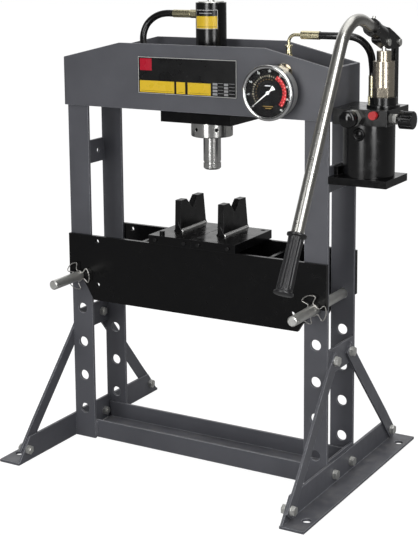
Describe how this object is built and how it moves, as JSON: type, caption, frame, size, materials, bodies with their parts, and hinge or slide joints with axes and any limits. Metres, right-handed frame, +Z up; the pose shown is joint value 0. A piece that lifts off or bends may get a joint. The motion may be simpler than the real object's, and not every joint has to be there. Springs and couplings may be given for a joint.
{
  "type": "hydraulic press",
  "caption": "Floor-standing hydraulic press: H-frame with pinned bed and V blocks, spring-return cylinder, pressure gauge and a side-mounted hand pump with a long lever.",
  "frame": {"origin": "On the floor, at the centre of the rectangle of the four floor holes, in the middle between the four uprights.", "axes": "+X runs along the press head towards the hand pump, +Y towards the back, +Z up."},
  "size_m": [0.807, 0.7185, 0.956],
  "materials": {
    "frame_paint": "satin dark grey powder coat on welded steel",
    "black_paint": "gloss black paint, faint orange peel",
    "cast_black": "black painted casting, slightly rough",
    "zinc_steel": "zinc plated steel",
    "lever_steel": "zinc plated drawn tube, satin",
    "turned_steel": "turned and polished steel",
    "nickel": "nickel plated, polished",
    "yellow_zinc": "pale yellow zinc plating",
    "spring_steel": "oiled spring steel",
    "dial_black": "matt black dial with light graduations",
    "needle_white": "white lacquer",
    "clear_glass": "flat clear gauge glass",
    "plate_film": "satin black plate with coloured fields",
    "hose_rubber": "black hydraulic hose, semi-gloss",
    "grip_rubber": "dark grey ribbed rubber",
    "knob_plastic": "black moulded plastic",
    "red_plastic": "red moulded plastic"
  },
  "bodies": {
    "frame": {"upright_front_left": "frame_paint", "upright_front_right": "frame_paint", "upright_rear_left": "frame_paint", "upright_rear_right": "frame_paint", "head_front_plate": "frame_paint", "head_rear_plate": "frame_paint", "cylinder_support_plate": "black_paint", "upper_tie_plates": "frame_paint", "brace_tie_plates": "frame_paint", "lower_tie_plates": "frame_paint", "floor_rails": "frame_paint", "foot_left": "frame_paint", "foot_right": "frame_paint", "braces": "frame_paint", "frame_bolts": "zinc_steel", "frame_nuts": "zinc_steel", "bed_front_plate": "black_paint", "bed_rear_plate": "black_paint", "bed_cross_plates": "black_paint", "bed_pins": "zinc_steel", "pin_clips": "zinc_steel", "press_plate_left": "black_paint", "press_plate_right": "black_paint", "v_block_left": "black_paint", "v_block_right": "black_paint", "plate_screws": "zinc_steel", "cylinder_barrel": "black_paint", "cylinder_cap": "turned_steel", "ring_nut": "turned_steel", "return_spring": "spring_steel", "gauge_case": "turned_steel", "gauge_bezel": "turned_steel", "gauge_glass": "clear_glass", "gauge_dial": "dial_black", "gauge_movement": "yellow_zinc", "gauge_manifold": "nickel", "rating_plate": "plate_film", "cylinder_hose": "hose_rubber", "cylinder_hose_ends": "yellow_zinc", "pump_hose": "hose_rubber", "pump_hose_ends": "yellow_zinc", "feed_pipe": "yellow_zinc", "pump_plate": "black_paint", "pump_tank": "black_paint", "pump_head": "cast_black", "pump_collar": "cast_black", "pump_barrel": "nickel", "valve_nuts": "zinc_steel", "relief_cap": "knob_plastic", "filler_plug": "red_plastic", "tank_plug": "black_paint"},
    "ram": {"ram": "turned_steel"},
    "plunger": {"pump_plunger": "nickel"},
    "lever": {"lever_socket": "cast_black", "lever_tube": "lever_steel", "lever_grip": "grip_rubber", "lever_pins": "zinc_steel"},
    "link": {"pump_link": "cast_black"},
    "release": {"release_knob": "knob_plastic"},
    "needle": {"gauge_needle": "needle_white"}
  },
  "joints": [
    {"name": "ram_stroke", "type": "slide", "parent": "frame", "child": "ram", "axis": [0, 0, -1], "range_m": [0, 0.13], "stiffness_N_per_m": 400, "springref_m": -0.08, "deforming": ["return_spring"]},
    {"name": "plunger_stroke", "type": "slide", "parent": "frame", "child": "plunger", "axis": [0, 0, 1], "range_m": [0, 0.02153]},
    {"name": "lever_lift", "type": "hinge", "parent": "plunger", "child": "lever", "pos_m": [0.388, -0.015, 0.878], "axis": [-1, 0, 0], "range_deg": [0, 24]},
    {"name": "link_rock", "type": "hinge", "parent": "lever", "child": "link", "pos_m": [0.388, 0.0385, 0.874], "axis": [1, 0, 0], "range_deg": [0, 26.43]},
    {"name": "release_turn", "type": "hinge", "parent": "frame", "child": "release", "pos_m": [0.43, -0.035, 0.738], "axis": [1, 0, 0], "range_deg": [0, 180]},
    {"name": "needle_turn", "type": "hinge", "parent": "frame", "child": "needle", "pos_m": [0.192, -0.1, 0.783], "axis": [0, 1, 0], "range_deg": [0, 260], "stiffness_Nm_per_rad": 0.0005}
  ],
  "couplings": [
    {"joint": "plunger_stroke", "follows": "lever_lift", "m_per_rad": 0.0514},
    {"joint": "link_rock", "follows": "lever_lift", "ratio": 1.1013}
  ]
}
